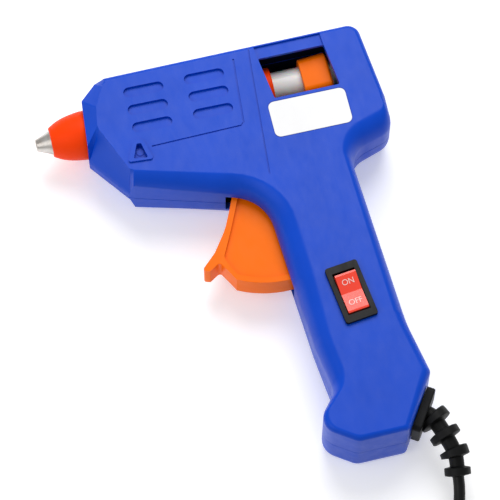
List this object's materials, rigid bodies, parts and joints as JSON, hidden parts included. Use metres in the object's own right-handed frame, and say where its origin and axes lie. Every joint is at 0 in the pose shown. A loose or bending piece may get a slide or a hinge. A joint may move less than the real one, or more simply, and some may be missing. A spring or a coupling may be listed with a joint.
{
  "type": "hot-melt glue gun",
  "caption": "Trigger-fed hot-melt glue gun lying on its side: split blue housing, orange trigger, rocker switch, view window, glue stick, boot and coiled cord with plug.",
  "frame": {"origin": "middle of the footprint of the gun without its cord, on the table", "axes": "+Z out of the left side, away from the table; +X back along the barrel, from nozzle to rear; +Y towards the top of the barrel"},
  "size_m": [0.1629, 0.2671, 0.0347],
  "materials": {
    "blue_plastic": "moulded ABS, low sheen",
    "red_silicone": "soft silicone, satin",
    "orange_plastic": "moulded ABS, low sheen",
    "glue": "cloudy hot-melt glue",
    "steel": "plated steel",
    "nozzle_metal": "turned, dulled by heat",
    "aluminium": "as cast",
    "black_plastic": "satin",
    "black_rubber": "flexible PVC, satin",
    "red_plastic": "polished",
    "label": "blank film",
    "ceramic": "fired ceramic",
    "brown_lead": "lead insulation",
    "black_lead": "lead insulation",
    "blue_lead": "lead insulation"
  },
  "bodies": {
    "gun": {"left_housing": "blue_plastic", "right_housing": "blue_plastic", "nozzle_tip": "nozzle_metal", "nozzle_cover": "red_silicone", "melt_chamber": "aluminium", "heater_plate": "ceramic", "heater_clamp": "steel", "inlet_sleeve": "red_silicone", "sleeve_ring": "steel", "rear_bush": "black_plastic", "pivot_pin": "steel", "return_spring": "steel", "switch_body": "black_plastic", "switch_pin": "steel", "switch_terminal_1": "steel", "switch_terminal_2": "steel", "name_label": "label", "cord_grommet": "black_rubber", "lead_live": "brown_lead", "lead_switched": "black_lead", "lead_neutral": "blue_lead", "cord_tail": "black_rubber", "cord_clamp": "black_plastic", "clamp_screw_1": "steel", "clamp_screw_2": "steel", "power_cord": "black_rubber", "plug_lead": "black_rubber", "cord_coil": "black_rubber", "cord_tie": "black_plastic", "plug_body": "black_plastic", "plug_pin_1": "steel", "plug_pin_2": "steel", "housing_screw_1": "steel", "housing_screw_2": "steel", "housing_screw_3": "steel", "housing_screw_4": "steel", "housing_screw_5": "steel"},
    "trigger": {"trigger": "orange_plastic", "arm_pin": "steel"},
    "carriage": {"feed_carriage": "orange_plastic", "carriage_pin": "steel", "grip_plate": "steel"},
    "link": {"drive_link": "steel"},
    "stick": {"glue_stick": "glue"},
    "rocker": {"switch_rocker": "red_plastic"}
  },
  "joints": [
    {"name": "trigger_pull", "type": "hinge", "parent": "gun", "child": "trigger", "pos_m": [0.0135, 0.029, 0.0155], "axis": [0, 0, 1], "range_deg": [0, 20], "stiffness_Nm_per_rad": 0.6, "springref_deg": -22.92, "deforming": ["return_spring"]},
    {"name": "carriage_feed", "type": "slide", "parent": "gun", "child": "carriage", "axis": [-1, 0, 0], "range_m": [0, 0.0105]},
    {"name": "link_turn", "type": "hinge", "parent": "carriage", "child": "link", "pos_m": [0.045, 0.0558, 0.0155], "axis": [0, 0, 1], "range_deg": [-2.5, 0.5]},
    {"name": "stick_feed", "type": "slide", "parent": "gun", "child": "stick", "axis": [1, 0, 0], "range_m": [-0.006, 0.04]},
    {"name": "switch_rock", "type": "hinge", "parent": "gun", "child": "rocker", "pos_m": [0.03385, -0.0266, 0.0301], "axis": [0.9932, 0.1167, 0], "range_deg": [-16, 0]}
  ],
  "couplings": [
    {"joint": "carriage_feed", "follows": "trigger_pull", "m_per_rad": 0.02675},
    {"joint": "link_turn", "follows": "trigger_pull", "ratio": -0.107}
  ]
}
